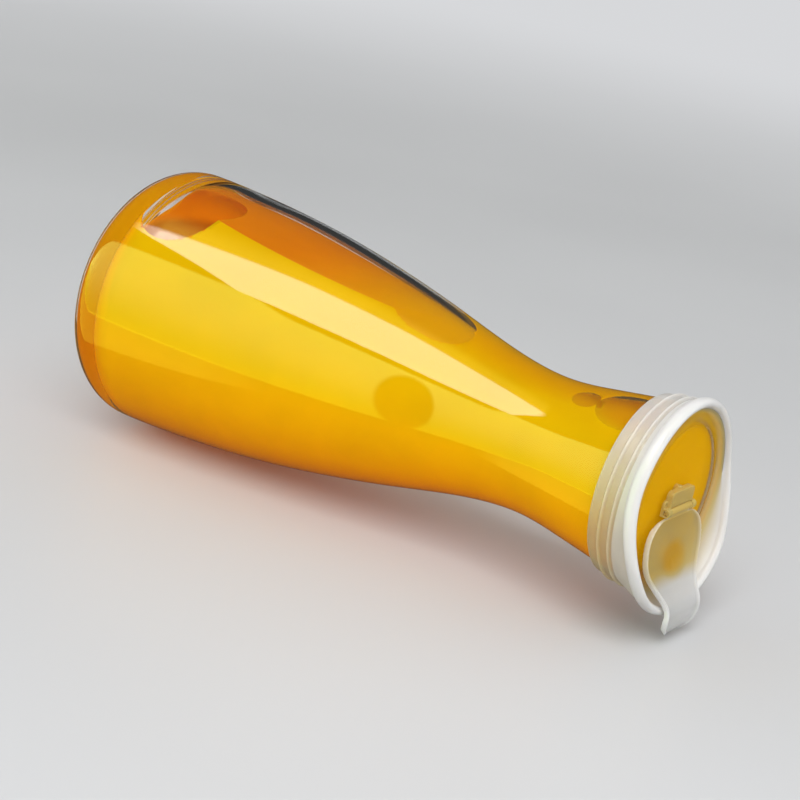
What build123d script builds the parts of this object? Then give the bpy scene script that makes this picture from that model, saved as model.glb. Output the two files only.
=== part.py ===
"""One-litre serving carafe: waisted clear-glass bottle, soft press-on lid with a pouring visor,
and a leaf-shaped pour flap that pivots in a block at the middle of the lid.

Frame: +Z up the bottle's axis, origin at the centre of the resting plane, the flap points to -Y.
Millimetres.
"""
from build123d import *
import math
import os

# ---------------------------------------------------------------- glass bottle
BODY_R = 53.7             # largest outside radius
HEEL_R = 15.6             # outside radius of the rounded heel
INNER_HEEL_R = 12.5
INNER_HEEL_ANGLE = 48     # degrees below horizontal of the inner heel arc's middle point
REST_RING_R = 34.0        # inside edge of the flat ring the bottle stands on
PUNT_H = 2.5              # hollow under the middle of the base
BASE_TOP = 9.5            # inside floor, on the axis
LIP_TOP = 254.9
LIP_R = 1.3               # half thickness of the fire-polished lip
MOUTH_OUT = 33.2          # outside radius under the lid
MOUTH_IN = MOUTH_OUT - 2 * LIP_R

# underside of the base between axis and resting ring: (radius, height)
PUNT = [(0, PUNT_H), (18, 1.9), (REST_RING_R - 3.5, 0.35), (REST_RING_R, 0)]
# outside of the glass, heel to mouth: (radius, height)
GLASS_OUT = [
    (BODY_R, HEEL_R), (53.55, 24.0), (53.0, 36.4), (51.55, 57.2), (49.4, 78.0),
    (46.35, 98.8), (42.45, 119.6), (37.9, 140.4), (32.8, 161.2), (28.5, 182.0),
    (27.1, 202.8), (29.45, 221.0), (32.1, 236.6), (MOUTH_OUT, 246.0),
]
# inside of the glass, mouth to heel: (radius, height)
GLASS_IN = [
    (MOUTH_IN, 248.5), (30.2, 243.0), (29.3, 236.6), (26.6, 221.0), (24.2, 202.8),
    (25.5, 182.0), (29.8, 161.2), (35.0, 140.4), (39.6, 119.6), (43.5, 98.8),
    (46.6, 78.0), (48.8, 57.2), (50.2, 36.4), (50.6, 26.0),
]

# ---------------------------------------------------------------- lid
SKIRT_Z = 240.0           # lower edge of the skirt
SKIRT_IN = MOUTH_OUT + 0.15   # sliding fit on the mouth
SKIRT_OUT = 34.5          # outside radius at the lower edge
FLOOR_TOP = 256.2
FLOOR_T = 1.2
FLOOR_UNDER = FLOOR_TOP - FLOOR_T
PLUG_IN, PLUG_OUT, PLUG_Z = 28.9, 30.35, 249.3   # ring that enters the mouth: radii, lower edge
PLUG_TAPER = 0.2          # growth of the plug's inside radius down to its lower edge
PLUG_LEAD_R, PLUG_LEAD_H = 0.6, 1.5   # bevel on the plug's lower outside edge
RIDGES = [(35.45, 245.2), (35.85, 249.6)]   # rings round the collar: (radius, height)
RIDGE_R = 0.55            # radius of a ridge's round section
BAND_H = 2.9              # height of the rolled band along the rim
BAND_CORE_R = SKIRT_IN + 1.0   # the band is removed inside this radius
POUR_Y, POUR_R = -20.5, 7.5    # pouring opening in the floor

# collar wall, outside going up and inside coming down: (radius, height)
COLLAR_OUT = [
    (34.9, 240.7), (35.35, 243.6), (35.7, 248.5), (36.3, 251.3),
    (38.1, 256.0), (40.2, 262.0), (41.3, 267.0), (41.9, 272.0),
]
COLLAR_IN = [(39.9, 272.0), (39.3, 267.0), (38.2, 262.0), (36.3, 258.2), (34.0, FLOOR_TOP)]
# rolled band, outside going up and inside coming down: (radius, height)
BAND_OUT = [
    (36.4, 248.0), (37.4, 251.3), (39.2, 256.0), (41.3, 262.0), (42.3, 267.0), (42.9, 272.0),
]
BAND_IN = [
    (38.9, 272.0), (38.3, 267.0), (37.2, 262.0), (35.6, 258.2), (34.2, 255.0), (34.0, 248.0),
]
# the visor, as the height of the collar's rim along Y: (y, z)
RIM = [
    (60.0, 258.5), (12.0, 258.5), (5.0, 259.2), (-2.0, 260.5), (-9.0, 262.1),
    (-16.0, 263.9), (-23.0, 265.5), (-30.0, 266.3), (-38.0, 266.6), (-60.0, 266.6),
]
RIM_CUT_TOP = 290         # top of the cutter above the rim, clear of the lid
RIM_CUT_REACH = 70        # half width of that cutter along X

# ---------------------------------------------------------------- hinge block
PIVOT_Y, PIVOT_Z = -3.0, 258.2   # pivot line, along X
AXLE_R = 0.9
AXLE_X = 10.7             # half length of the axle
BORE_R = AXLE_R + 0.05
BORE_LENGTH = 6
KNUCKLE_R, KNUCKLE_X = 1.5, 8.0  # flap's knuckle: radius, half length
EAR_IN = KNUCKLE_X + 0.2  # distance of an ear's faces from the middle
EAR_OUT = 11.0
EAR_MID = (EAR_IN + EAR_OUT) / 2
EAR_R = 1.75
BLOCK_FRONT = PIVOT_Y + KNUCKLE_R + 0.25
BLOCK_BACK, BLOCK_TOP = 6.0, 258.9
BLOCK_CORNER_R = 1.2
STEM_Y = BLOCK_BACK / 2 + 0.5
STEM_R = 2.0
STEM_FIT = 0.05           # clearance of the stem in the floor
BARB_H = 2.2              # cone under the floor, wide end up
BARB_TIP_R, BARB_TOP_R = STEM_R - 0.4, STEM_R + 0.5

# ---------------------------------------------------------------- pour flap
LEAF_T = 1.3
EDGE_T, EDGE_W = 2.3, 1.7        # raised edge: thickness, width
EDGE_BACK, EDGE_FRONT = -9, -71  # Y range in which the raised edge is kept
LEAF_TIP = 49.4
LEAF_REACH = 30           # half width of the sheets the leaf is cut from
MIN_HALF_WIDTH = 4        # narrower outline points are left to the tip's curve
ROOT_FRONT = -6.0
BOSS_R = POUR_R - 0.35
BOSS_TIP_R = POUR_R - 0.9
BOSS_BORE_R = POUR_R - 2.2
BOSS_TAPER_H = 1.8        # tapered part, below the top of the floor
BOSS_BORE_TOP = 258.6

# outline: (distance from the axis, half width)
LEAF_PLAN = [
    (5.2, 7.9), (6.6, 10.6), (9.0, 15.4), (12.0, 18.6), (16.0, 20.4), (20.5, 20.9), (25.0, 20.3),
    (30.0, 18.0), (34.0, 15.4), (38.0, 13.4), (42.0, 12.7), (45.0, 11.6), (47.6, 8.6), (49.0, 4.4),
]
# middle surface: (distance from the axis, height)
LEAF_Z = [
    (2.4, PIVOT_Z), (8.0, 258.5), (14.0, 259.1), (20.0, 260.3), (25.0, 262.1), (29.0, 264.3),
    (33.0, 266.8), (36.5, 268.4), (41.0, 269.0), (44.5, 269.0), (47.3, 268.2), (49.2, 266.2),
]
LEAF_MID = [Vector(0, -distance, z) for distance, z in LEAF_Z]


# ---------------------------------------------------------------- shared shapes
def profile(points):
    """(radius, height) pairs as points in the XZ plane."""
    return [Vector(radius, 0, z) for radius, z in points]


def chain(points):
    """Straight edges joining the points in turn."""
    return [Line(start, end) for start, end in zip(points, points[1:])]


def lathe(edges):
    """Solid of revolution about Z from edges in the XZ plane."""
    return revolve(make_face(Wire(edges)), Axis.Z, 360)


def across(face, reach):
    """Face in the YZ plane extruded by reach to both sides."""
    return extrude(face, amount=reach, dir=(1, 0, 0), both=True)


def post(y, radius, bottom, top):
    """Upright cylinder in the plane X = 0."""
    return Pos(0, y, (bottom + top) / 2) * Cylinder(radius, top - bottom)


def pivot_rod(x, radius, length):
    """Cylinder on the pivot line, centred at x."""
    return Pos(x, PIVOT_Y, PIVOT_Z) * Rot(0, 90, 0) * Cylinder(radius, length)


def slab(x, width, front, back, bottom, top):
    """Box centred at x, between limits in Y and Z."""
    centre = Pos(x, (front + back) / 2, (bottom + top) / 2)
    return centre * Box(width, back - front, top - bottom)


# ---------------------------------------------------------------- pieces
def make_bottle():
    heel_x = BODY_R - HEEL_R
    sin45 = math.sin(math.pi / 4)
    heel_start, heel_mid = profile([(heel_x, 0), (heel_x + HEEL_R * sin45, HEEL_R * (1 - sin45))])
    punt = profile(PUNT)
    outside = profile(GLASS_OUT)
    inside = profile(GLASS_IN)
    lip_out, lip_mid, lip_in = profile([
        (MOUTH_OUT, LIP_TOP - LIP_R), (MOUTH_OUT - LIP_R, LIP_TOP), (MOUTH_IN, LIP_TOP - LIP_R),
    ])
    inner_centre = inside[-1] - Vector(INNER_HEEL_R, 0, 0)
    angle = math.radians(INNER_HEEL_ANGLE)
    inner_mid = inner_centre + Vector(math.cos(angle), 0, -math.sin(angle)) * INNER_HEEL_R
    inner_end = inner_centre - Vector(0, 0, INNER_HEEL_R)
    floor = [inner_end] + profile([(20, 10.6), (0, BASE_TOP)])
    return lathe([
        Line(floor[-1], punt[0]),
        Spline(punt, tangents=[Vector(1, 0, 0), Vector(1, 0, 0)]),
        Line(punt[-1], heel_start),
        ThreePointArc(heel_start, heel_mid, outside[0]),
        Spline(outside, tangents=[Vector(0, 0, 1), Vector(0, 0, 1)]),
        Line(outside[-1], lip_out),
        ThreePointArc(lip_out, lip_mid, lip_in),
        Line(lip_in, inside[0]),
        Spline(inside, tangents=[Vector(0, 0, -1), Vector(0, 0, -1)]),
        ThreePointArc(inside[-1], inner_mid, inner_end),
        Spline(floor, tangents=[Vector(-1, 0, 0), Vector(-1, 0, 0)]),
    ])


def make_above_rim():
    """Face in the YZ plane covering everything above the visor line."""
    rim = [Vector(0, y, z) for y, z in RIM]
    top_front = Vector(0, rim[-1].Y, RIM_CUT_TOP)
    top_back = Vector(0, rim[0].Y, RIM_CUT_TOP)
    return make_face(Wire([Spline(rim)] + chain([rim[-1], top_front, top_back, rim[0]])))


def make_band(above_rim):
    """Rolled band that stiffens the rim, on both sides of the collar's wall."""
    outside, inside = profile(BAND_OUT), profile(BAND_IN)
    band = lathe([
        Spline(outside),
        Line(outside[-1], inside[0]),
        Spline(inside),
        Line(inside[-1], outside[0]),
    ])
    band -= across(above_rim, RIM_CUT_REACH)
    band &= across(above_rim.moved(Location((0, 0, -BAND_H))), RIM_CUT_REACH)
    band -= post(0, BAND_CORE_R, 210, 270)
    return band


def make_lid():
    outside, inside = profile(COLLAR_OUT), profile(COLLAR_IN)
    skirt = profile([(SKIRT_IN, SKIRT_Z), (SKIRT_OUT, SKIRT_Z)])
    floor_and_plug = profile([
        (0, FLOOR_TOP),
        (0, FLOOR_UNDER),
        (PLUG_IN, FLOOR_UNDER),
        (PLUG_IN + PLUG_TAPER, PLUG_Z),
        (PLUG_OUT - PLUG_LEAD_R, PLUG_Z),
        (PLUG_OUT, PLUG_Z + PLUG_LEAD_H),
        (PLUG_OUT, FLOOR_UNDER),
        (SKIRT_IN, FLOOR_UNDER),
    ])
    lid = lathe(
        chain(skirt + [outside[0]])
        + [
            Spline(outside),
            Line(outside[-1], inside[0]),
            Spline(inside, tangents=[Vector(0, 0, -1), Vector(-1, 0, -0.15)]),
        ]
        + chain([inside[-1]] + floor_and_plug + [skirt[0]])
    )
    for radius, z in RIDGES:
        lid += Torus(radius, RIDGE_R).moved(Location((0, 0, z)))

    above_rim = make_above_rim()
    lid -= across(above_rim, RIM_CUT_REACH)
    lid += make_band(above_rim)
    lid -= post(POUR_Y, POUR_R, 235, 265)
    lid -= post(STEM_Y, STEM_R + STEM_FIT, FLOOR_TOP - 3, FLOOR_TOP + 3)
    return lid


def make_hinge_block():
    block = slab(0, 2 * EAR_OUT, BLOCK_FRONT, BLOCK_BACK, FLOOR_TOP, BLOCK_TOP)
    ear_width = EAR_OUT - EAR_IN
    for side in (-1, 1):
        x = side * EAR_MID
        block += pivot_rod(x, EAR_R, ear_width)
        block += slab(x, ear_width, PIVOT_Y - EAR_R, BLOCK_FRONT, FLOOR_TOP, PIVOT_Z)
    upright = block.edges().filter_by(Axis.Z)
    back_corners = upright.filter_by(lambda edge: edge.center().Y > BLOCK_BACK - 0.1)
    block = fillet(back_corners, BLOCK_CORNER_R)

    # stem through the floor, ending in a barb just under it
    block += post(STEM_Y, STEM_R, FLOOR_TOP - 2.0, FLOOR_TOP + 0.2)
    barb_z = FLOOR_UNDER - STEM_FIT - BARB_H / 2
    block += Pos(0, STEM_Y, barb_z) * Cone(BARB_TIP_R, BARB_TOP_R, BARB_H)
    for side in (-1, 1):
        block -= pivot_rod(side * EAR_MID, BORE_R, BORE_LENGTH)
    return block


def leaf_sheet(thickness):
    """Sheet along the leaf's middle line, wider in X than the leaf."""
    upper, lower = [], []
    for i, point in enumerate(LEAF_MID):
        before = LEAF_MID[max(i - 1, 0)]
        after = LEAF_MID[min(i + 1, len(LEAF_MID) - 1)]
        along = (after - before).normalized()
        normal = Vector(0, along.Z, -along.Y)
        upper.append(point + normal * (thickness / 2))
        lower.append(point - normal * (thickness / 2))
    lower.reverse()
    section = Wire([
        Spline(upper), Line(upper[-1], lower[0]), Spline(lower), Line(lower[-1], upper[0]),
    ])
    return across(make_face(section), LEAF_REACH)


def leaf_prism(inset=0.0):
    """Leaf outline as a tall prism, or a narrower one inside it."""
    base_z = 250
    right = [
        Vector(half_width - inset, -distance, base_z)
        for distance, half_width in LEAF_PLAN
        if half_width - inset > MIN_HALF_WIDTH
    ]
    left = [Vector(-point.X, point.Y, point.Z) for point in reversed(right)]
    curve = Spline(right + [Vector(0, -(LEAF_TIP - inset), base_z)] + left)
    face = make_face(Wire([curve, Line(left[-1], right[0])]))
    return extrude(face, amount=30, dir=(0, 0, 1))


def make_boss():
    """Hollow stopper in the pouring opening, tapered so that it swings out."""
    root, tip = LEAF_MID[0], LEAF_MID[-1]
    low_tip, low_root = Vector(0, tip.Y, 240), Vector(0, root.Y, 240)
    under_face = make_face(Wire([Spline(LEAF_MID)] + chain([tip, low_tip, low_root, root])))
    boss = post(POUR_Y, BOSS_R, 254.5, 263.5) & across(under_face, LEAF_REACH)
    boss -= post(POUR_Y, 20, 243.8, FLOOR_TOP)
    taper_z = FLOOR_TOP - BOSS_TAPER_H / 2
    boss += Pos(0, POUR_Y, taper_z) * Cone(BOSS_TIP_R, BOSS_R, BOSS_TAPER_H)
    boss -= post(POUR_Y, BOSS_BORE_R, 245.4, BOSS_BORE_TOP)
    return boss


def make_flap():
    leaf = leaf_sheet(LEAF_T) & leaf_prism()
    edge = (leaf_sheet(EDGE_T) & leaf_prism()) - leaf_prism(EDGE_W)
    edge &= slab(0, 80, EDGE_FRONT, EDGE_BACK, 230, 290)
    root_width = 2 * LEAF_PLAN[0][1]
    root = leaf_sheet(LEAF_T) & slab(0, root_width, ROOT_FRONT, LEAF_MID[0].Y, 254, 262)
    knuckle = pivot_rod(0, KNUCKLE_R, 2 * KNUCKLE_X)
    axle = pivot_rod(0, AXLE_R, 2 * AXLE_X)
    return leaf + edge + root + knuckle + axle + make_boss()


# ---------------------------------------------------------------- write
parts = {
    "glass_bottle": make_bottle(),
    "lid": make_lid(),
    "hinge_block": make_hinge_block(),
    "pour_flap": make_flap(),
}
os.makedirs("parts", exist_ok=True)
for name, shape in parts.items():
    solids = shape.solids()
    piece = solids[0] if len(solids) == 1 else Compound(children=list(solids))
    export_step(piece, f"parts/{name}.step")
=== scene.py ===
# A lidded glass carafe of yellow drink. It stands on z = 0 with its axis on Z; the pour hole and
# the leaf-shaped flap lie towards -Y, the hinge plate towards +Y. The drink is shaped as in a
# carafe lying on its side with +Y up, so its air pocket is along the +Y wall. Shape dimensions
# are in millimetres and are turned into metres as meshes are made; the stage is in metres.
import math

import bmesh
import bpy
import numpy as np
from mathutils import Matrix, Vector


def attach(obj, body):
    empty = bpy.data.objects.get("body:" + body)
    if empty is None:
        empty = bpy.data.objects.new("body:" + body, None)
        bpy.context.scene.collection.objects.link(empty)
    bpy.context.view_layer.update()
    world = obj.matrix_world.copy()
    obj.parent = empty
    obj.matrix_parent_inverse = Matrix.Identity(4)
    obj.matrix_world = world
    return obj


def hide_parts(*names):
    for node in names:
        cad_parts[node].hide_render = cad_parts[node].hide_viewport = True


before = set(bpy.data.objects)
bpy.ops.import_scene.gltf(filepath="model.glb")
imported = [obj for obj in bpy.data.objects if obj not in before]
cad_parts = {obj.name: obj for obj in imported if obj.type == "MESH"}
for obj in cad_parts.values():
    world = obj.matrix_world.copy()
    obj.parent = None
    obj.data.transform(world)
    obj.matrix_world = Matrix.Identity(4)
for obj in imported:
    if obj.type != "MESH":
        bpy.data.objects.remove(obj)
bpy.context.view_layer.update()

scene = bpy.context.scene
MM = 0.001
RAD = math.pi / 180


# ---------------------------------------------------------------- curves and small maths
def spline(points, steps, start_dir=None, end_dir=None):
    """steps + 1 points on a cubic through points, by chord length, with optional end directions."""
    pts = np.array(points, float)
    knots = np.concatenate([[0], np.cumsum(np.linalg.norm(np.diff(pts, axis=0), axis=1))])
    count = len(pts)
    gap = np.diff(knots)
    lhs = np.zeros((count, count))
    rhs = np.zeros((count, pts.shape[1]))
    for i in range(1, count - 1):
        lhs[i, i - 1], lhs[i, i], lhs[i, i + 1] = gap[i], 2 * (gap[i - 1] + gap[i]), gap[i - 1]
        rhs[i] = 3 * (gap[i] * (pts[i] - pts[i - 1]) / gap[i - 1]
                      + gap[i - 1] * (pts[i + 1] - pts[i]) / gap[i])
    if start_dir is None:
        lhs[0, 0], lhs[0, 1] = 2, 1
        rhs[0] = 3 * (pts[1] - pts[0]) / gap[0]
    else:
        lhs[0, 0] = 1
        rhs[0] = start_dir
    if end_dir is None:
        lhs[-1, -1], lhs[-1, -2] = 2, 1
        rhs[-1] = 3 * (pts[-1] - pts[-2]) / gap[-1]
    else:
        lhs[-1, -1] = 1
        rhs[-1] = end_dir
    slope = np.linalg.solve(lhs, rhs)
    result = []
    for u in np.linspace(0, knots[-1], steps + 1):
        i = min(int(np.searchsorted(knots, u, side="right")) - 1, count - 2)
        s = (u - knots[i]) / gap[i]
        point = ((2 * s**3 - 3 * s**2 + 1) * pts[i] + (s**3 - 2 * s**2 + s) * gap[i] * slope[i]
                 + (-2 * s**3 + 3 * s**2) * pts[i + 1] + (s**3 - s**2) * gap[i] * slope[i + 1])
        result.append(tuple(point))
    return result


def arc(center, radius, start, end, steps):
    """steps + 1 points on a circle, from angle start to end in degrees."""
    angles = [math.radians(start + (end - start) * i / steps) for i in range(steps + 1)]
    return [(center[0] + radius * math.cos(a), center[1] + radius * math.sin(a)) for a in angles]


def clamp01(value):
    return max(0.0, min(1.0, value))


def smoothstep(value):
    return value * value * (3 - 2 * value)


# ---------------------------------------------------------------- mesh helpers
def mm(x, y, z):
    """A point in metres from millimetres."""
    return (x * MM, y * MM, z * MM)


def add_object(name, data):
    obj = bpy.data.objects.new(name, data)
    scene.collection.objects.link(obj)
    return obj


def shade_smooth(mesh):
    mesh.polygons.foreach_set("use_smooth", [True] * len(mesh.polygons))


def new_object(name, verts, faces, smooth=True):
    mesh = bpy.data.meshes.new(name)
    mesh.from_pydata([tuple(v) for v in verts], [], faces)
    mesh.validate()
    mesh.update()
    if smooth:
        shade_smooth(mesh)
    return add_object(name, mesh)


def face_outwards(obj):
    bm = bmesh.new()
    bm.from_mesh(obj.data)
    bmesh.ops.recalc_face_normals(bm, faces=bm.faces)
    bm.to_mesh(obj.data)
    bm.free()
    return obj


def lathe(name, profile, segments=256):
    """Closed lathe solid from (radius, z) points that start and end on the axis."""
    profile = [p for i, p in enumerate(profile) if i == 0 or math.dist(p, profile[i - 1]) > 1e-4]
    verts = [mm(0, 0, profile[0][1])]
    for r, z in profile[1:-1]:
        for k in range(segments):
            angle = 2 * math.pi * k / segments
            verts.append(mm(r * math.cos(angle), r * math.sin(angle), z))
    verts.append(mm(0, 0, profile[-1][1]))
    last_ring = 1 + (len(profile) - 3) * segments
    faces = []
    for k in range(segments):
        after = (k + 1) % segments
        faces.append((0, 1 + after, 1 + k))
        for start in range(1, last_ring, segments):
            a, b = start + k, start + after
            faces.append((a, b, b + segments, a + segments))
        faces.append((last_ring + k, last_ring + after, len(verts) - 1))
    return face_outwards(new_object(name, verts, faces))


def extrude_z(outline, z0, z1, name="tmp"):
    """Solid from a counter-clockwise (x, y) outline."""
    n = len(outline)
    verts = [mm(x, y, z) for z in (z0, z1) for x, y in outline]
    faces = [tuple(range(n - 1, -1, -1)), tuple(range(n, 2 * n))]
    faces += [(k, (k + 1) % n, n + (k + 1) % n, n + k) for k in range(n)]
    return new_object(name, verts, faces, smooth=False)


def extrude_x(outline, x0, x1, name="tmp"):
    """Solid from a (y, z) outline."""
    n = len(outline)
    verts = [mm(x, y, z) for x in (x0, x1) for y, z in outline]
    faces = [tuple(range(n)), tuple(range(2 * n - 1, n - 1, -1))]
    faces += [(k, n + k, n + (k + 1) % n, (k + 1) % n) for k in range(n)]
    return face_outwards(new_object(name, verts, faces, smooth=False))


def post_z(x, y, radius, z0, z1, sides, name="tmp"):
    angles = [2 * math.pi * (k + 0.5) / sides for k in range(sides)]
    outline = [(x + radius * math.cos(a), y + radius * math.sin(a)) for a in angles]
    return extrude_z(outline, z0, z1, name)


def rod_x(x0, x1, y, z, radius, sides=48):
    angles = [2 * math.pi * k / sides for k in range(sides)]
    return extrude_x([(y + radius * math.cos(a), z + radius * math.sin(a)) for a in angles], x0, x1)


def bake_modifiers(obj):
    depsgraph = bpy.context.evaluated_depsgraph_get()
    mesh = bpy.data.meshes.new_from_object(obj.evaluated_get(depsgraph))
    obj.modifiers.clear()
    obj.data = mesh


def boolean_cut(obj, cutter):
    cut = obj.modifiers.new("cut", "BOOLEAN")
    cut.operation = "DIFFERENCE"
    cut.solver = "EXACT"
    cut.object = cutter
    bake_modifiers(obj)
    bpy.data.objects.remove(cutter)


def join_remesh(name, parts, voxel, smooth_steps):
    """One moulding from overlapping parts, joined by voxels and softened."""
    bm = bmesh.new()
    for part in parts:
        bm.from_mesh(part.data)
    mesh = bpy.data.meshes.new(name)
    bm.to_mesh(mesh)
    bm.free()
    for part in parts:
        bpy.data.objects.remove(part)
    obj = add_object(name, mesh)
    remesh = obj.modifiers.new("vox", "REMESH")
    remesh.mode = "VOXEL"
    remesh.voxel_size = voxel * MM
    remesh.use_smooth_shade = True
    soften = obj.modifiers.new("sm", "SMOOTH")
    soften.factor = 0.5
    soften.iterations = smooth_steps
    bake_modifiers(obj)
    shade_smooth(obj.data)
    return obj


def store_attribute(obj, name, values, domain="POINT"):
    obj.data.attributes.new(name, "FLOAT", domain).data.foreach_set("value", values)


def store_by_place(obj, name, value_at):
    """Point attribute from a function of the vertex place in millimetres."""
    values = [float(value_at(v.co.x / MM, v.co.y / MM, v.co.z / MM)) for v in obj.data.vertices]
    store_attribute(obj, name, values)


# ---------------------------------------------------------------- glass
# (radius, z), outside wall from the heel up
GLASS_OUT = [
    (53.7, 15.6), (53.55, 24.0), (53.0, 36.4), (51.55, 57.2), (49.4, 78.0), (46.35, 98.8),
    (42.45, 119.6), (37.9, 140.4), (32.8, 161.2), (28.5, 182.0), (27.1, 202.8), (29.45, 221.0),
    (32.1, 236.6), (33.2, 246.0)]
# (radius, z), inside wall from the mouth down
GLASS_IN = [
    (30.6, 248.5), (30.2, 243.0), (29.3, 236.6), (26.6, 221.0), (24.2, 202.8), (25.5, 182.0),
    (29.8, 161.2), (35.0, 140.4), (39.6, 119.6), (43.5, 98.8), (46.6, 78.0), (48.8, 57.2),
    (50.2, 36.4), (50.6, 26.0)]
HEEL_X = 38.1                     # radius of the circle the heel arcs are centred on
HEEL_OUT_R = 15.6
HEEL_IN_R, HEEL_IN_Z = 12.5, 26.0
INNER_BASE_Z = 9.5                # inside floor on the axis
LIP_X, LIP_Z, LIP_R = 31.9, 253.6, 1.3

out_wall = spline(GLASS_OUT, 90, (0, 1), (0, 1))
in_wall = spline(GLASS_IN, 84, (0, -1), (0, -1))
heel_in = arc((HEEL_X, HEEL_IN_Z), HEEL_IN_R, 0, -90, 16)
base_in = spline([(HEEL_X, HEEL_IN_Z - HEEL_IN_R), (20, 10.6), (0, INNER_BASE_Z)], 14,
                 (-1, 0), (-1, 0))


def build_glass():
    punt = spline([(0, 2.5), (18, 1.9), (30.5, 0.35), (34.0, 0.0)], 18, (1, 0), (1, 0))
    heel = arc((HEEL_X, HEEL_OUT_R), HEEL_OUT_R, -90, 0, 20)
    lip = [(LIP_X + LIP_R, 249.5)] + arc((LIP_X, LIP_Z), LIP_R, 0, 180, 14)
    return lathe("carafe_glass", punt + [(36.0, 0.0)] + heel + out_wall[1:] + lip
                 + in_wall + heel_in[1:] + base_in[1:])


# ---------------------------------------------------------------- drink
GROW = 0.06                       # how far the drink reaches into the glass
# free surface: a plane at y = AIR_Y where z = AIR_Z, falling towards the neck
AIR_Y, AIR_Z, AIR_SLOPE = 42.6, 60.0, -0.1245
POCKET_HALF_X, POCKET_Y = 70, 80
POCKET_Z0, POCKET_Z1 = -10, 196
# ellipsoids: centre x, y, z, radii x, y, z, tilt about X, then turn about the axis, in degrees
DIP = (-17.0, 42.0, 31.0, 27.0, 13.5, 18.0, 0.0, 0.0)        # deep end of the pocket by the base
NOSE = (0.0, 34.1, 145.5, 17.0, 2.7, 17.6, 13.6, 12.0)       # end of the pocket by the shoulder
NECK_BUBBLES = [(-9.5, 25.4, 236.0, 11.5, 6.2, 14.0, 0.0, 0.0),
                (-8.0, 24.2, 217.0, 5.0, 3.2, 6.0, 0.0, 0.0)]


def ball_rotations(ball):
    """The turn about the axis and the tilt about X."""
    return (Matrix.Rotation(math.radians(ball[7]), 3, "Z"),
            Matrix.Rotation(math.radians(ball[6]), 3, "X"))


def ball_object(ball):
    mesh = bpy.data.meshes.new("ball")
    bm = bmesh.new()
    bmesh.ops.create_uvsphere(bm, u_segments=28, v_segments=14, radius=1.0)
    turn, tilt = ball_rotations(ball)
    rx, ry, rz = ball[3:6]
    for v in bm.verts:
        offset = tilt @ Vector((v.co.x * rx, v.co.y * ry, v.co.z * rz))
        v.co = turn @ (Vector(ball[:3]) + offset) * MM
    bm.to_mesh(mesh)
    bm.free()
    shade_smooth(mesh)
    return add_object("ball", mesh)


def ball_level(point, ball):
    """1 on the ellipsoid's surface, less inside it."""
    turn, tilt = ball_rotations(ball)
    local = tilt.inverted() @ (turn.inverted() @ point - Vector(ball[:3]))
    return sum((local[i] / ball[i + 3]) ** 2 for i in range(3))


def surface_y(z):
    return AIR_Y + AIR_SLOPE * (z - AIR_Z)


def drink_shade(center):
    """Where painted shade goes: 1 on the free surface and the nose, 2 in the dip, 0 against the
    glass.
    """
    on_plane = abs((center.y - AIR_Y) - AIR_SLOPE * (center.z - AIR_Z)) < 0.02
    if abs(ball_level(center, NOSE) - 1.0) < 0.04 or (on_plane and center.z < 200):
        return 1.0
    in_dip = abs(ball_level(center, DIP) - 1.0) < 0.03 and math.hypot(center.x, center.y) < 50.3
    return 2.0 if in_dip else 0.0


def build_drink():
    profile = [(0, INNER_BASE_Z - GROW)] + [(r, z - GROW) for r, z in reversed(base_in[:-1])]
    for r, z in reversed(heel_in[:-1]):
        outward = Vector((r - HEEL_X, z - HEEL_IN_Z)).normalized() * GROW
        profile.append((r + outward.x, z + outward.y))
    profile += [(r + GROW, z) for r, z in reversed(in_wall)]
    # inside the lid's plug ring, and closed just under the lid's floor
    profile += [(28.75, 248.9), (28.75, 254.2), (28.3, 254.7), (20, 254.72), (10, 254.74),
                (0, 254.75)]
    drink = lathe("drink_fill", profile)
    pocket = [(surface_y(POCKET_Z0), POCKET_Z0), (surface_y(POCKET_Z1), POCKET_Z1),
              (POCKET_Y, POCKET_Z1), (POCKET_Y, POCKET_Z0)]
    boolean_cut(drink, extrude_x(pocket, -POCKET_HALF_X, POCKET_HALF_X, "pocket"))
    for ball in (DIP, NOSE, *NECK_BUBBLES):
        boolean_cut(drink, ball_object(ball))
    shades = [drink_shade(face.center / MM) for face in drink.data.polygons]
    store_attribute(drink, "shade", shades, "FACE")
    return drink


# ---------------------------------------------------------------- lid
FLOOR_TOP, FLOOR_UNDER = 256.2, 255.0
POUR_Y, POUR_R = -20.5, 7.5
# (y, z) of the rim line, high over the pour side
RIM_LINE = [(-60.0, 266.6), (-38.0, 266.6), (-30.0, 266.3), (-23.0, 265.5), (-16.0, 263.9),
            (-9.0, 262.1), (-2.0, 260.5), (5.0, 259.2), (12.0, 258.5), (60.0, 258.5)]
# (radius, z) of the collar's walls
WALL_OUT = spline([(36.0, 251.0), (38.1, 256.0), (40.2, 262.0), (41.3, 267.0), (41.9, 272.0)], 40)
WALL_IN = spline([(34.0, 256.2), (36.2, 257.9), (38.2, 262.0), (39.3, 267.0), (39.9, 272.0)], 40)
WALL_FOOT = FLOOR_TOP + 0.8       # where the inner wall starts above its corner
BEAD_HALF_W, BEAD_HALF_H = 1.72, 2.5
SKIRT_TOP, SKIRT_FOOT = 251.2, 240.9
# (z, radius) of the skirt between its ribs
SKIRT = [(240.7, 34.9), (243.6, 35.35), (248.5, 35.7), (251.2, 36.1)]
RIB_ZS = (249.6, 245.2)
RIB_HEIGHT, RIB_HALF_WIDTH = 0.95, 0.55

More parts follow.
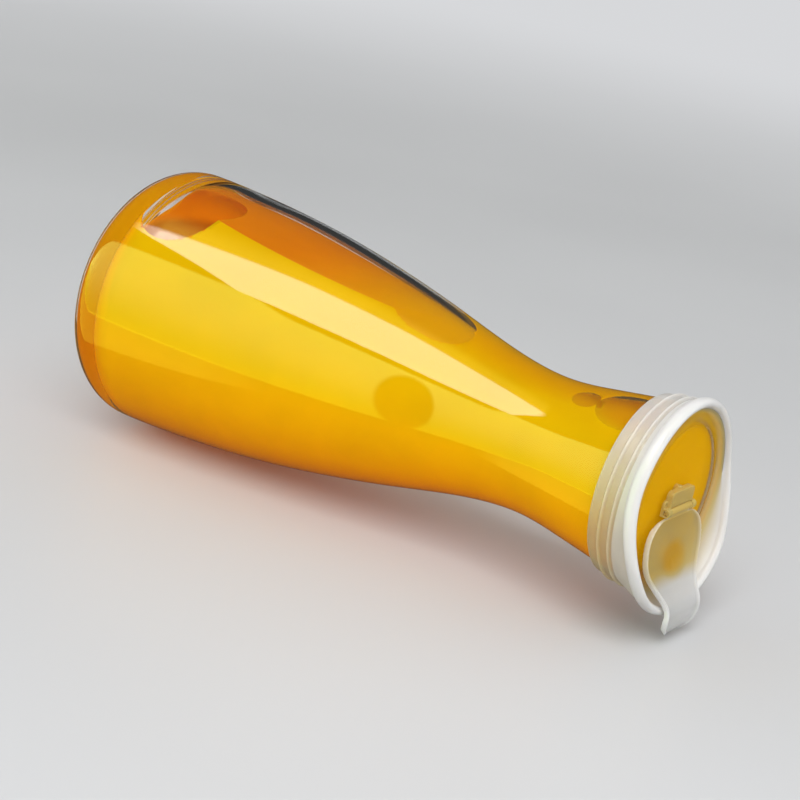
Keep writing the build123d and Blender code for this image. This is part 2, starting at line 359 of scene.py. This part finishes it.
# In the lists below the columns are radius, z, clearness.
LID_FLOOR = [(r, FLOOR_TOP, clear) for r, clear in (
    (4, 0.93), (8, 0.93), (12, 0.93), (16, 0.93), (20, 0.93), (24, 0.93), (27.5, 0.90),
    (29.5, 0.62), (31.2, 0.42), (32.6, 0.36))]
LID_CORNER = [(33.6, FLOOR_TOP + 0.12, 0.32), (34.4, FLOOR_TOP + 0.42, 0.30)]
SKIRT_EDGE = [(34.75, 240.45, 0.3), (34.5, 240.12, 0.3), (34.15, 240.0, 0.3),
              (33.7, 240.05, 0.4), (33.4, 240.35, 0.5)]
SKIRT_INSIDE = [(33.36, z, 0.62) for z in (242, 244.5, 247, 249.5, 252, 254.2)]
# over the glass lip, then down and up the plug ring inside the mouth
PLUG_RING = [
    (33.2, 254.95, 0.7), (31.9, 255.02, 0.9), (30.45, 255.0, 0.9), (30.35, 254.6, 0.8),
    (30.35, 252.6, 0.7), (30.35, 250.9, 0.7), (30.1, 249.8, 0.7), (29.7, 249.3, 0.7),
    (29.3, 249.35, 0.7), (29.05, 249.9, 0.7), (28.95, 252.0, 0.7), (28.9, 254.3, 0.8),
    (28.5, 254.95, 0.8)]
UNDERSIDE = [(r, FLOOR_UNDER, 0.95) for r in (26, 22, 18, 14, 10, 6, 3)]
WALL_STEPS, BEAD_STEPS, COLLAR_STEPS, SKIRT_STEPS = 8, 18, 8, 60
# indices in a lid ring where its sections end
CORNER_START = len(LID_FLOOR)
WALL_START = CORNER_START + len(LID_CORNER)
BEAD_START = WALL_START + WALL_STEPS
CREASE_END = BEAD_START + BEAD_STEPS + 2
FLOOR_CLEAR, UNDER_CLEAR = 0.93, 0.95       # clearness at the two points on the axis
LID_SEGMENTS = 256


def rim_z(y):
    """Rim line, lightly smoothed."""
    line_y, line_z = zip(*RIM_LINE)
    return float(np.interp(y + np.linspace(-4, 4, 9), line_y, line_z).mean())


def radius_at(z, wall):
    return float(np.interp(z, [p[1] for p in wall], [p[0] for p in wall]))


def lid_ring(direction):
    """Lid profile at one direction: from the axis over the floor and rim, down the skirt and
    back under the floor."""
    rim_r = 39.5
    for _ in range(12):           # the rim's height and radius depend on each other
        top = rim_z(rim_r * math.sin(direction))
        rim_r = (radius_at(top - 1.6, WALL_OUT) + radius_at(top - 1.6, WALL_IN)) / 2
    bead_z = top - BEAD_HALF_H
    points = LID_FLOOR + LID_CORNER
    # inner wall
    for i in range(1, WALL_STEPS + 1):
        f = i / WALL_STEPS
        z = WALL_FOOT + (bead_z - WALL_FOOT) * f
        r = radius_at(z, WALL_IN) + (35.0 - radius_at(WALL_FOOT, WALL_IN)) * (1 - f) - 0.15 * f
        points.append((r, z, 0.32 - 0.17 * f))
    # rolled bead
    for x, y in arc((0, 0), 1, 176, -52, BEAD_STEPS)[1:]:
        points.append((rim_r + BEAD_HALF_W * x, bead_z + BEAD_HALF_H * y, 0.10))
    # crease under the bead, then the collar's outer wall
    crease_z = bead_z - 2.25
    points += [(radius_at(crease_z, WALL_OUT) + 0.35, crease_z, 0.15),
               (radius_at(crease_z - 0.5, WALL_OUT) + 0.02, crease_z - 0.5, 0.2)]
    collar_top = crease_z - 0.8
    for i in range(COLLAR_STEPS + 1):
        z = collar_top + (SKIRT_TOP - collar_top) * i / COLLAR_STEPS
        points.append((radius_at(z, WALL_OUT), z, 0.30))
    # ridged skirt
    skirt_z, skirt_r = zip(*SKIRT)
    for i in range(1, SKIRT_STEPS + 1):
        z = SKIRT_TOP + (SKIRT_FOOT - SKIRT_TOP) * i / SKIRT_STEPS
        r = float(np.interp(z, skirt_z, skirt_r))
        rib = sum(math.exp(-((z - rib_z) / RIB_HALF_WIDTH) ** 2) for rib_z in RIB_ZS)
        points.append((r + RIB_HEIGHT * rib, z, 0.58 - 0.36 * min(1.0, rib)))
    return points + SKIRT_EDGE + SKIRT_INSIDE + PLUG_RING + UNDERSIDE


def lid_drink_glow(index, r, z, low_side):
    """Painted light from the drink: how yellow its light through the plastic makes a ring point;
    low_side is 1 on the -Y side, 0 at +Y.
    """
    if index < CORNER_START:
        return 1.0 if r < 31 else 0.92
    if index < WALL_START:
        return (0.80, 0.62)[index - CORNER_START]
    if index < BEAD_START:
        return 0.50 * (1 - (index - WALL_START + 1) / WALL_STEPS) ** 1.6
    if index < CREASE_END:
        return 0.0
    if r <= 33.3:
        return 0.9
    if z > 251.0:
        return 0.10 * low_side
    return (0.34 - 0.02 * max(0.0, z - 246)) * low_side + 0.03


def build_lid():
    # the last list holds painted light: the yellow the drink's light throws through the plastic at
    # each point
    verts, clear, drink_glow = [mm(0, 0, FLOOR_TOP)], [FLOOR_CLEAR], [1.0]
    for k in range(LID_SEGMENTS):
        angle = 2 * math.pi * k / LID_SEGMENTS
        ring = lid_ring(angle)
        low_side = 0.5 - 0.5 * max(-1.0, min(1.0, (math.sin(angle) - 0.35) / 0.5))
        for i, (r, z, clearness) in enumerate(ring):
            verts.append(mm(r * math.cos(angle), r * math.sin(angle), z))
            clear.append(clearness)
            drink_glow.append(lid_drink_glow(i, r, z, low_side))
    verts.append(mm(0, 0, FLOOR_UNDER))
    clear.append(UNDER_CLEAR)
    drink_glow.append(1.0)
    size = len(ring)
    faces = []
    for k in range(LID_SEGMENTS):
        a, b = 1 + k * size, 1 + (k + 1) % LID_SEGMENTS * size
        faces.append((0, a, b))
        faces += [(a + j, a + j + 1, b + j + 1, b + j) for j in range(size - 1)]
        faces.append((a + size - 1, len(verts) - 1, b + size - 1))
    lid = new_object("lid_shell", verts, faces)
    store_attribute(lid, "clear", clear)
    store_attribute(lid, "drink_glow", drink_glow)
    boolean_cut(lid, post_z(0.0, POUR_Y, POUR_R, 250, 262, sides=72, name="cut_pour"))
    return lid


# ---------------------------------------------------------------- hinge clip
PIVOT_Y, PIVOT_Z = -3.0, 258.2
CLIP_FOOT = 256.1                 # underside of the plates, just inside the lid's floor
CLIP_BACK = -1.25                 # -Y edge of the plates
EAR_IN, EAR_OUT = 8.2, 11.0       # the ears' faces along X, mirrored


def plate(half_width, y1, corner_r, z1):
    """Flat plate with rounded corners on its +Y side."""
    outline = [(-half_width, CLIP_BACK), (half_width, CLIP_BACK)]
    for x, start in ((half_width - corner_r, 0.0), (-half_width + corner_r, 90.0)):
        outline += arc((x, y1 - corner_r), corner_r, start, start + 90.0, 8)
    return extrude_z(outline, CLIP_FOOT, z1)


def build_hinge():
    parts = [plate(half_width=8.9, y1=4.7, corner_r=2.1, z1=258.75),
             plate(half_width=EAR_OUT, y1=1.2, corner_r=1.0, z1=257.2)]
    for x0, x1 in ((-EAR_OUT, -EAR_IN), (EAR_IN, EAR_OUT)):
        parts.append(rod_x(x0, x1, PIVOT_Y, PIVOT_Z, radius=1.75))
        foot = [(x0, -4.6), (x1, -4.6), (x1, CLIP_BACK), (x0, CLIP_BACK)]
        parts.append(extrude_z(foot, CLIP_FOOT, 258.0))
    parts.append(post_z(0, 3.5, 2.0, 252.9, 257.0, sides=40))
    hinge = join_remesh("hinge_clip", parts, voxel=0.2, smooth_steps=7)
    # the ears are bored for the flap's axle
    boolean_cut(hinge, rod_x(-11.6, 11.6, PIVOT_Y, PIVOT_Z, radius=1.02))
    return hinge


# ---------------------------------------------------------------- leaf flap
# s is the distance from the carafe's axis along -Y
LEAF_S0, LEAF_S1 = 2.4, 48.2
# (s, half width)
LEAF_PLAN = [
    (2.4, 7.9), (4.75, 7.95), (5.6, 11.5), (7.0, 15.3), (9.5, 18.6), (13.0, 20.7), (18.0, 21.5),
    (22.0, 20.9), (26.0, 18.9), (30.0, 16.0), (34.0, 13.6), (38.0, 12.8), (41.5, 12.9),
    (44.4, 11.8), (46.7, 8.8), (47.9, 4.6), (48.25, 1.3)]
# (s, z) of the sheet's middle surface
LEAF_Z = [
    (2.4, 258.0), (5.0, 258.0), (8.0, 258.0), (14.0, 258.5), (20.0, 259.4), (25.0, 260.7),
    (29.0, 262.6), (33.0, 265.4), (36.3, 267.9), (39.0, 268.8), (41.7, 269.0), (44.0, 268.8),
    (46.6, 267.8), (48.1, 266.1)]
leaf_height_s, leaf_height_z = np.array(spline(LEAF_Z, 200)).T
leaf_plan_s, leaf_plan_w = np.array(spline(LEAF_PLAN, 240)).T
LEAF_ROWS, LEAF_COLS = 110, 56
# (radius, z) down the outside and up the inside of the hollow boss; None is the leaf's height
BOSS_RINGS = [(7.1, None), (7.12, 256.2), (6.65, 254.45), (5.6, 254.45), (5.5, 256.5),
              (5.45, 258.0)]
BOSS_SIDES = 64


def leaf_height(s):
    return float(np.interp(s, leaf_height_s, leaf_height_z))


def half_width(s):
    return float(np.interp(s, leaf_plan_s, leaf_plan_w))


def edge_closeness(s, x, margin):
    """1 at the leaf's side edge, 0 from margin inwards."""
    return clamp01(1 - (half_width(s) - abs(x)) / margin)


def leaf_sheet():
    """Curved sheet with a dished middle, a thicker edge and a curled lip."""
    top, bottom = [], []
    for i in range(LEAF_ROWS + 1):
        s = LEAF_S0 + (LEAF_S1 - LEAF_S0) * (1 - (1 - i / LEAF_ROWS) ** 1.15)
        probe = 0.05
        rise = (leaf_height(s + probe) - leaf_height(s - probe)) / (2 * probe)
        normal = Vector((0, rise, 1)).normalized()
        for j in range(LEAF_COLS + 1):
            u = -1 + 2 * j / LEAF_COLS
            x = u * half_width(s)
            # the middle lies a little lower than the edge over the leaf's wide part
            dish = 0.9 * (u * u - 0.5) * clamp01((s - 7) / 9) * clamp01((44 - s) / 6)
            edge = smoothstep(edge_closeness(s, x, 2.0)) * clamp01((s - 5.5) / 3)
            half_thick = 0.60 + 0.55 * edge
            middle = Vector((x, -s, leaf_height(s) + dish))
            top.append(middle + normal * half_thick)
            bottom.append(middle - normal * half_thick)
    row = LEAF_COLS + 1
    under = len(top)
    faces = []
    for i in range(LEAF_ROWS):
        for j in range(LEAF_COLS):
            a = i * row + j
            faces.append((a, a + row, a + row + 1, a + 1))
            faces.append((under + a, under + a + 1, under + a + row + 1, under + a + row))
    for i in range(LEAF_ROWS):
        a = i * row
        b = a + LEAF_COLS
        faces.append((a, under + a, under + a + row, a + row))
        faces.append((b, b + row, under + b + row, under + b))
    for j in range(LEAF_COLS):
        c = LEAF_ROWS * row + j
        faces.append((j, j + 1, under + j + 1, under + j))
        faces.append((c, under + c, under + c + 1, c + 1))
    verts = [v * MM for v in top + bottom]
    return face_outwards(new_object("tmp", verts, faces, smooth=False))


def stopper_boss():
    """Hollow tapered cup under the leaf, over the pour hole."""
    n = BOSS_SIDES
    verts = []
    for r, z in BOSS_RINGS:
        for k in range(n):
            angle = 2 * math.pi * k / n
            x, y = r * math.cos(angle), POUR_Y + r * math.sin(angle)
            verts.append(mm(x, y, leaf_height(-y) if z is None else z))
    verts += [mm(0, POUR_Y, leaf_height(-POUR_Y)), mm(0, POUR_Y, BOSS_RINGS[-1][1])]
    last = (len(BOSS_RINGS) - 1) * n
    faces = []
    for k in range(n):
        after = (k + 1) % n
        for start in range(0, last, n):
            faces.append((start + k, start + after, start + n + after, start + n + k))
        faces.append((len(verts) - 2, after, k))
        faces.append((len(verts) - 1, last + k, last + after))
    return face_outwards(new_object("tmp", verts, faces, smooth=False))


def flap_clear(x, y, z):
    s = -y
    if s < 6:
        return 0.25
    edge = edge_closeness(s, x, 2.2)
    tip = clamp01((s - 40) / 5)
    return 0.44 * (1 - edge) * (1 - 0.4 * tip) + 0.14


def flap_drink_glow(x, y, z):
    """Painted light from the drink showing through: yellow near the hinge, fading to the tip, with
    a round patch over the boss.
    """
    s = -y
    if s < 4.8:
        return 0.62
    edge = edge_closeness(s, x, 2.4)
    near = clamp01((30.5 - s) / 5.0)
    patch = clamp01((8.6 - math.hypot((x - 1.8) / 1.35, s - 22.2)) / 4.8)
    return 0.55 * near * (1 - 0.65 * edge) + 0.38 * smoothstep(patch)


def build_flap():
    barrel = rod_x_pair = [(8.0, 1.5), (10.6, 0.9)]     # half length, radius: barrel and axle
    parts = [leaf_sheet()]
    parts += [rod_x(-half, half, PIVOT_Y, PIVOT_Z, radius) for half, radius in barrel]
    parts.append(stopper_boss())
    flap = join_remesh("flap_leaf", parts, voxel=0.28, smooth_steps=4)
    store_by_place(flap, "clear", flap_clear)
    store_by_place(flap, "drink_glow", flap_drink_glow)
    return flap


glass = build_glass()
drink = build_drink()
lid = build_lid()
hinge = build_hinge()
flap = build_flap()
# painted light: the hinge clip is evenly yellowed by the drink's light showing through
store_by_place(hinge, "drink_glow", lambda x, y, z: 0.54)
store_by_place(hinge, "clear", lambda x, y, z: 0.42)


# ---------------------------------------------------------------- shader node helpers
class Nodes:
    """Fills a node tree. Any input may be a value or an output socket to link from."""

    def __init__(self, owner):
        owner.use_nodes = True
        self.tree = owner.node_tree
        self.tree.nodes.clear()

    def node(self, kind, inputs=None, **settings):
        node = self.tree.nodes.new("ShaderNode" + kind)
        for key, value in settings.items():
            setattr(node, key, value)
        for key, value in (inputs or {}).items():
            if isinstance(value, bpy.types.NodeSocket):
                self.tree.links.new(value, node.inputs[key])
            else:
                node.inputs[key].default_value = value
        return node

    def first(self, kind, inputs=None, **settings):
        """First output of a new node."""
        return self.node(kind, inputs, **settings).outputs[0]

    def math(self, operation, *values, clamp=False):
        return self.first("Math", dict(enumerate(values)), operation=operation, use_clamp=clamp)

    def times(self, value, *others):
        for other in others:
            value = self.math("MULTIPLY", value, other)
        return value

    def plus(self, a, b):
        return self.math("ADD", a, b)

    def minus(self, a, b):
        return self.math("SUBTRACT", a, b)

    def noise(self, vector, scale, detail=2.0):
        return self.first("TexNoise", {"Vector": vector, "Scale": scale, "Detail": detail})

    def remap(self, value, start, end, low=0.0, high=1.0, kind="LINEAR"):
        """low to high as value goes from start to end."""
        return self.first("MapRange", {"Value": value, "From Min": start, "From Max": end,
                                       "To Min": low, "To Max": high}, interpolation_type=kind)

    def smooth(self, value, start, end, low=0.0, high=1.0):
        return self.remap(value, start, end, low, high, kind="SMOOTHSTEP")

    def ramp(self, factor, stops):
        node = self.node("ValToRGB", {0: factor})
        elements = node.color_ramp.elements
        while len(elements) > 1:
            elements.remove(elements[-1])
        elements[0].position, elements[0].color = stops[0][0], (*stops[0][1], 1)
        for position, color in stops[1:]:
            elements.new(position).color = (*color, 1)
        return node.outputs["Color"]

    def scaled(self, vector, factor):
        return self.first("VectorMath", {0: vector, "Scale": factor}, operation="SCALE")

    def mix_color(self, factor, a, b):
        return self.node("Mix", {0: factor, 6: a, 7: b}, data_type="RGBA").outputs[2]

    def mix_shader(self, factor, a, b):
        return self.first("MixShader", {0: factor, 1: a, 2: b})

    def bump(self, height, strength, distance):
        return self.first("Bump", {"Height": height, "Strength": strength, "Distance": distance})

    def transparent(self, color=(1, 1, 1, 1)):
        return self.first("BsdfTransparent", {"Color": color})

    def object_coords(self):
        return self.node("TexCoord").outputs["Object"]

    def attribute(self, name):
        return self.node("Attribute", attribute_name=name).outputs["Fac"]

    def split(self, vector):
        return self.node("SeparateXYZ", {0: vector}).outputs

    def camera_upright(self):
        """1 when the camera's up direction is not turned below the horizontal, else 0."""
        up = self.first("VectorTransform", {0: (0, 1, 0)}, vector_type="VECTOR",
                        convert_from="CAMERA", convert_to="WORLD")
        return self.math("GREATER_THAN", self.split(up)[2], -0.1)

    def surface(self, shader, kind="OutputMaterial"):
        self.node(kind, {"Surface": shader})


def display(*rgb):
    """Linear colour from display values 0-255."""
    return tuple((c / 255 / 12.92) if c / 255 <= 0.04045 else ((c / 255 + 0.055) / 1.055) ** 2.4
                 for c in rgb)


# ---------------------------------------------------------------- materials
def glass_material():
    material = bpy.data.materials.new("clear_glass")
    n = Nodes(material)
    coords = n.object_coords()
    # faint waviness drawn out along the axis, and a trace of haze in patches
    drawn = n.first("Mapping", {"Vector": coords, "Scale": (1.0, 1.0, 0.35)})
    waves = n.noise(drawn, scale=16.0, detail=1.5)
    haze = n.remap(n.noise(coords, scale=60.0), start=0.45, end=0.8, high=0.03)
    glass_shader = n.first("BsdfGlass", {
        "IOR": 1.5, "Color": (0.985, 0.99, 0.985, 1), "Roughness": haze,
        "Normal": n.bump(waves, strength=0.05, distance=0.004)})
    # shadow and diffuse rays pass straight through
    rays = n.node("LightPath").outputs
    passing = n.math("MAXIMUM", rays["Is Shadow Ray"], rays["Is Diffuse Ray"])
    n.surface(n.mix_shader(passing, glass_shader, n.transparent((0.95, 0.96, 0.95, 1))))
    return material


def drink_material():
    material = bpy.data.materials.new("yellow_drink")
    n = Nodes(material)
    coords = n.object_coords()
    x, y, z = n.split(coords)
    # painted light and shade: 0 on the -Y side to 1 on the +Y side, with an uneven boundary; the
    # ramp below paints the drink orange and shaded on the -Y side, bright yellow across the middle
    # and darker again towards the air pocket
    radius = n.math("SQRT", n.plus(n.times(x, x), n.times(y, y)))
    height = n.math("DIVIDE", y, n.math("MAXIMUM", radius, 0.012))
    wobble = n.times(n.minus(n.noise(coords, scale=11.0, detail=3.0), 0.5), 0.07)
    level = n.math("ADD", n.times(n.plus(height, wobble), 0.5), 0.5, clamp=True)
    # the mouth and the base each pull towards one fixed level of the painted ramp
    mouth = n.smooth(z, start=0.2470, end=0.2536)
    base = n.smooth(z, start=0.0150, end=0.0250, low=0.82, high=0.0)
    pull = n.math("MAXIMUM", mouth, base)
    mouth_level, base_level = 0.52, 0.03
    level = n.plus(n.times(level, n.minus(1.0, pull)),
                   n.plus(n.times(mouth, mouth_level), n.times(base, base_level)))
    wall_color = n.ramp(level, [
        (0.0, display(206, 108, 0)), (0.05, display(210, 120, 0)), (0.16, display(214, 138, 0)),
        (0.30, display(214, 148, 0)), (0.42, display(212, 152, 0)), (0.53, display(201, 149, 0)),
        (0.66, display(197, 149, 0)), (0.80, display(192, 150, 0)), (0.93, display(188, 144, 0)),
        (1.0, display(181, 124, 0))])
    # free surface, painted darker than the wall as shade, lighter away from the base
    shade = n.attribute("shade")
    surface_color = n.mix_color(n.smooth(z, start=0.075, end=0.155),
                                (*display(188, 100, 0), 1), (*display(189, 130, 0), 1))
    color = n.mix_color(n.math("MINIMUM", shade, 1.0), wall_color, surface_color)
    # the dip, painted dark brown as shade in the middle with a soft edge
    across = n.math("DIVIDE", n.minus(x, DIP[0] * MM), 0.0250)
    along = n.math("DIVIDE", n.minus(z, DIP[2] * MM), 0.0165)
    distance = n.plus(n.times(across, across), n.times(along, along))
    dip = n.times(n.smooth(distance, start=1.0, end=0.66),
                  n.math("SUBTRACT", shade, 1.0, clamp=True))
    color = n.mix_color(dip, color, (*display(146, 68, 0), 1))
    # pulp clouds
    pulp = n.remap(n.noise(coords, scale=34.0, detail=5.0), start=0.3, end=0.7,
                   low=0.95, high=1.05)
    color = n.scaled(color, pulp)
    # painted light: the drink glows faintly in its own colour
    n.surface(n.first("BsdfPrincipled", {
        "Base Color": color, "Roughness": 0.25, "IOR": 1.05, "Specular IOR Level": 0.2,
        "Subsurface Weight": 0.25, "Subsurface Radius": (1.0, 0.55, 0.06),
        "Subsurface Scale": 0.010, "Emission Color": color, "Emission Strength": 0.40}))
    return material


def plastic_material(name, plain_color):
    """Milky plastic, seen through by "clear" and yellowed by painted light from the drink."""
    material = bpy.data.materials.new(name)
    n = Nodes(material)
    coords = n.object_coords()
    mottle = n.noise(coords, scale=45.0, detail=4.0)
    full_drink_glow = 1.4               # painted drink light at the end of the ramp
    # painted light: plain where the drink's light does not reach, yellow where it shows through
    color = n.ramp(n.math("DIVIDE", n.attribute("drink_glow"), full_drink_glow), [
        (0.0, plain_color), (0.36, display(206, 184, 112)), (0.71, display(218, 168, 24)),
        (1.0, display(178, 112, 22))])
    color = n.scaled(color, n.remap(mottle, start=0.3, end=0.7, low=0.955, high=1.03))
    grain = n.noise(coords, scale=900.0)
    plastic = n.first("BsdfPrincipled", {
        "Base Color": color, "IOR": 1.5,
        "Roughness": n.remap(mottle, start=0.0, end=1.0, low=0.26, high=0.40),
        "Subsurface Weight": 0.5, "Subsurface Radius": (1.0, 0.95, 0.9),
        "Subsurface Scale": 0.003, "Normal": n.bump(grain, strength=0.06, distance=0.0004)})
    # less clear at grazing angles, most of all where it is milky
    clear = n.attribute("clear")
    facing = n.node("LayerWeight", {"Blend": 0.35}).outputs["Facing"]
    milky = n.minus(1.0, clear)
    kept = n.minus(1.0, n.times(facing, n.times(milky, 0.9)))
    factor = n.math("MULTIPLY", clear, kept, clamp=True)
    n.surface(n.mix_shader(factor, plastic, n.transparent((0.97, 0.97, 0.97, 1))))
    return material


mat_glass = glass_material()
mat_drink = drink_material()
mat_lid = plastic_material("milky_lid", (0.74, 0.735, 0.72))
mat_flap = plastic_material("milky_flap", (0.72, 0.72, 0.71))
for obj, material in ((glass, mat_glass), (drink, mat_drink), (lid, mat_lid),
                      (hinge, mat_flap), (flap, mat_flap)):
    obj.data.materials.clear()
    obj.data.materials.append(material)

for obj, body, node, slot in ((glass, "bottle", "glass_bottle", "clear_glass"),
                              (lid, "lid", "lid", "milky_plastic"),
                              (hinge, "lid", "hinge_block", "milky_plastic"),
                              (flap, "flap", "pour_flap", "milky_plastic")):
    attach(obj, body)
    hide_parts(node)
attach(drink, "bottle")

# ---------------------------------------------------------------- stage, in metres
# One floor under the standing carafe and one along its -Y side as it lies; each is seen only by
# a camera held the matching way up.
FLOOR_HALF = 12.0
STANDING_Z = -0.0004
LYING_Y, LYING_SLOPE = -0.0543, 0.012
BACKDROP, BACKDROP_STRENGTH = (0.80, 0.81, 0.83, 1), 0.85


def floor_material(name, standing):
    material = bpy.data.materials.new(name)
    n = Nodes(material)
    coords = n.object_coords()
    color = n.ramp(n.noise(coords, scale=3.0),
                   [(0.3, (0.56, 0.565, 0.57)), (0.7, (0.60, 0.605, 0.61))])
    near = n.first("BsdfPrincipled", {"Base Color": color, "Roughness": 0.45, "IOR": 1.3})
    # far off the floor fades into the backdrop
    distance = n.node("VectorMath", {0: coords}, operation="LENGTH").outputs["Value"]
    far = n.first("Emission", {"Color": BACKDROP, "Strength": BACKDROP_STRENGTH})
    body = n.mix_shader(n.smooth(distance, start=0.35, end=1.9), near, far)
    hidden = n.transparent()
    pair = (hidden, body) if standing else (body, hidden)
    n.surface(n.mix_shader(n.camera_upright(), *pair))
    return material


def build_floor(name, verts, standing):
    floor = new_object(name, verts, [(0, 1, 2, 3)], smooth=False)
    floor.data.materials.append(floor_material(name, standing))
    floor.visible_glossy = False


SQUARE = [(-FLOOR_HALF, -FLOOR_HALF), (FLOOR_HALF, -FLOOR_HALF),
          (FLOOR_HALF, FLOOR_HALF), (-FLOOR_HALF, FLOOR_HALF)]
build_floor("floor_standing", [(x, y, STANDING_Z) for x, y in SQUARE], standing=True)
build_floor("floor_lying", [(x, LYING_Y + LYING_SLOPE * z, z) for z, x in SQUARE[:1]
                            + SQUARE[1:2] + SQUARE[2:3] + SQUARE[3:]], standing=False)

# ---------------------------------------------------------------- camera
# The camera is given in a frame with the flap at azimuth FLAP_AZIMUTH, then turned about Z to
# bring the flap to -Y.
FLAP_AZIMUTH = 110.0
CAMERA_PLACE = np.array([678.92324095, 0.0, 522.15987289]) * MM
CAMERA_RIGHT = np.array([-0.46182128621439367, -0.3737458717277538, 0.8043849345715922])
CAMERA_DOWN = np.array([-0.18062160258927404, 0.9275127328516887, 0.32725520175556333])
CAMERA_FORWARD = np.array([-0.8683875495867991, 0.0058441222141158355, -0.49585170157838626])


def placement(x_axis, y_axis, z_axis, place):
    rows = [(*x_axis, 0), (*y_axis, 0), (*z_axis, 0), (*place, 1)]
    return Matrix(rows).transposed()


def add_camera():
    data = bpy.data.cameras.new("camera")
    data.lens, data.sensor_width = 90.0, 36.0
    data.clip_start, data.clip_end = 0.02, 60
    camera = add_object("camera", data)
    angle = math.radians(-90.0 - FLAP_AZIMUTH)
    turn = np.array([[math.cos(angle), -math.sin(angle), 0],
                     [math.sin(angle), math.cos(angle), 0], [0, 0, 1]])
    camera.matrix_world = placement(turn @ CAMERA_RIGHT, -(turn @ CAMERA_DOWN),
                                    -(turn @ CAMERA_FORWARD), turn @ CAMERA_PLACE)
    scene.camera = camera


add_camera()


# ---------------------------------------------------------------- lights
def area_light(name, place, size, power, up=(0, 0, 1)):
    """Square light aimed at the carafe's middle."""
    data = bpy.data.lights.new(name, "AREA")
    data.shape = "RECTANGLE"
    data.size, data.size_y = size, size
    data.energy = power
    light = add_object(name, data)
    z_axis = (Vector(place) - Vector((0, 0, 0.12))).normalized()
    x_axis = Vector(up).cross(z_axis).normalized()
    light.matrix_world = placement(x_axis, z_axis.cross(x_axis), z_axis, place)
    light.visible_camera = False
    light.visible_glossy = False


area_light("key", (-0.9, 1.3, 0.7), size=1.3, power=22.0)
area_light("over", (0.6, -0.35, 1.7), size=1.4, power=9.0, up=(0, 1, 0))
area_light("side", (-1.5, -0.5, 0.7), size=1.0, power=7.0)


# ---------------------------------------------------------------- world
# What glossy rays meet: a wedge-shaped window and broad coloured panels for the lying view, tall
# panels all round for the standing view. All other rays meet the plain backdrop.
def rise(n, value, none, full):
    return n.smooth(value, none, full)


def fall(n, value, full, none):
    """1 up to full, 0 beyond none."""
    return n.smooth(n.times(value, -1.0), -none, -full)


def glow_sum(n, base_gray, *glows):
    """Sum of (colour, strength, mask) glows and an even grey."""
    total = None
    for color, strength, mask in glows:
        glow = n.scaled(color, n.times(mask, strength))
        total = glow if total is None else n.first("VectorMath", {0: total, 1: glow})
    return n.first("VectorMath", {0: total, 1: n.scaled(base_gray, 1.0)})


def lying_studio(n, dx, dy, dz):
    # azimuth from +Y towards -X
    angle = n.math("ARCTAN2", n.times(dx, -1.0), dy)
    # the window lies between two edges, in degrees, that bend below some dz
    upper = n.times(n.minus(6.5, n.times(n.math("MINIMUM", n.plus(dz, 0.1), 0.0), 26.0)), RAD)
    lower = n.times(n.plus(45.0, n.times(n.math("MINIMUM", n.plus(dz, 0.37), 0.0), 85.0)), RAD)
    past_upper = n.minus(angle, upper)
    before_lower = n.minus(lower, angle)
    length = n.times(rise(n, dz, none=-0.605, full=-0.545), fall(n, dz, full=0.15, none=0.25))

    def window(none, full):
        """Window mask with its upper edge rising between two angles in degrees."""
        return n.times(rise(n, past_upper, none * RAD, full * RAD),
                       rise(n, before_lower, none=-0.4 * RAD, full=0.8 * RAD), length)

    strip = window(none=-1.0, full=2.5)
    halo = window(none=-24, full=2)
    # broad veil beside the window, cut off along a slanting edge near the horizontal
    widening = n.times(rise(n, dz, none=-0.36, full=-0.22), 6.0 * RAD)
    slant = n.plus(n.times(dy, -0.024), n.times(n.plus(dx, 0.95), -0.055))
    edge = n.plus(dz, n.plus(0.0600, slant))
    veil = n.times(rise(n, n.minus(angle, widening), none=43.0 * RAD, full=45.5 * RAD),
                   fall(n, angle, full=111.5 * RAD, none=113.5 * RAD),
                   fall(n, edge, full=-0.006, none=0.004))
    pale = n.times(veil, fall(n, angle, full=62 * RAD, none=112 * RAD))
    # narrow band past the veil, wider lower down
    band_end = n.times(n.minus(109.0, n.times(dz, 50.0)), RAD)
    band = n.times(rise(n, angle, none=110 * RAD, full=112 * RAD),
                   rise(n, n.minus(band_end, angle), none=-1.5 * RAD, full=1.0 * RAD),
                   fall(n, dz, full=-0.46, none=-0.20))
    return glow_sum(n, (0.04, 0.04, 0.04),
                    ((0.95, 0.97, 0.98), 5.6, strip), ((1.0, 0.80, 0.10), 2.4, halo),
                    ((1.8, 3.1, 0.1), 1.0, veil), ((0.9, 0.9, 0.75), 1.0, pale),
                    ((1.5, 1.7, 0.1), 1.0, band))


def standing_studio(n, dx, dy, dz):
    # three tall panels, the first at azimuth 15 degrees
    from_first = n.minus(n.math("ARCTAN2", dy, dx), 15 * RAD)
    lobes = rise(n, n.math("COSINE", n.times(from_first, 3.0)), none=0.80, full=0.90)
    panels = n.times(lobes, n.times(rise(n, dz, none=-0.45, full=-0.25),
                                    fall(n, dz, full=0.70, none=0.85)))
    overhead = rise(n, dz, none=0.3, full=0.9)
    return glow_sum(n, (0.30, 0.30, 0.31),
                    ((1.0, 0.99, 0.97), 6.0, panels), ((1.0, 1.0, 1.0), 1.0, overhead))


def build_world():
    world = bpy.data.worlds.new("world")
    scene.world = world
    n = Nodes(world)
    dx, dy, dz = n.split(n.node("TexCoord").outputs["Generated"])
    lying = lying_studio(n, dx, dy, dz)
    standing = standing_studio(n, dx, dy, dz)
    studio = n.node("Mix", {0: n.camera_upright(), 4: lying, 5: standing},
                    data_type="VECTOR").outputs[1]
    n.surface(n.mix_shader(
        n.node("LightPath").outputs["Is Glossy Ray"],
        n.first("Background", {"Color": BACKDROP, "Strength": BACKDROP_STRENGTH}),
        n.first("Background", {"Color": studio})), kind="OutputWorld")


build_world()
scene.view_settings.view_transform = "Standard"
